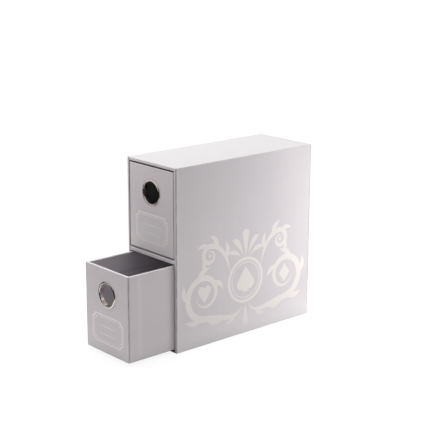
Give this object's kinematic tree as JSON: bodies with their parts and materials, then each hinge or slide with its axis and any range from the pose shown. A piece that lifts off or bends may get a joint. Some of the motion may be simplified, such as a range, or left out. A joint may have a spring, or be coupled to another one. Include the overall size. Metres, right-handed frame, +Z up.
{
  "type": "playing card box with drawers",
  "caption": "Upright board box wrapped in silver-grey paper, with stacked pull-out drawers for playing cards, each with a metal finger ring.",
  "frame": {"origin": "centre of the case's underside, on the surface it stands on", "axes": "+X across the box, to the right of someone facing the drawers; +Y from the drawer fronts to the back; +Z up"},
  "size_m": [0.0826, 0.2644, 0.205],
  "materials": {
    "grey_board": "raw grey board, fibrous",
    "printed_paper": "pale silver-grey printed paper, satin",
    "lining_paper": "plain silver-grey paper, matt",
    "ring_metal": "polished nickel plate"
  },
  "bodies": {
    "case": {"case_left_board": "grey_board", "case_right_board": "grey_board", "case_top_board": "grey_board", "case_bottom_board": "grey_board", "case_back_board": "grey_board", "shelf_lower_board": "grey_board", "shelf_upper_board": "grey_board", "case_wrap_paper": "printed_paper", "case_edge_paper": "printed_paper", "case_back_paper": "printed_paper", "case_base_paper": "printed_paper", "lower_bay_liner": "lining_paper", "upper_bay_liner": "lining_paper"},
    "lower_drawer": {"lower_front_board": "grey_board", "lower_back_board": "grey_board", "lower_left_board": "grey_board", "lower_right_board": "grey_board", "lower_bottom_board": "grey_board", "lower_wrap_paper": "printed_paper", "lower_liner_paper": "lining_paper", "lower_finger_ring": "ring_metal", "lower_ring_washer": "ring_metal"},
    "upper_drawer": {"upper_front_board": "grey_board", "upper_back_board": "grey_board", "upper_left_board": "grey_board", "upper_right_board": "grey_board", "upper_bottom_board": "grey_board", "upper_wrap_paper": "printed_paper", "upper_liner_paper": "lining_paper", "upper_finger_ring": "ring_metal", "upper_ring_washer": "ring_metal"}
  },
  "joints": [
    {"name": "lower_drawer_slide", "type": "slide", "parent": "case", "child": "lower_drawer", "axis": [0, -1, 0], "range_m": [-0.061, 0.104]},
    {"name": "upper_drawer_slide", "type": "slide", "parent": "case", "child": "upper_drawer", "axis": [0, -1, 0], "range_m": [0, 0.165]}
  ]
}
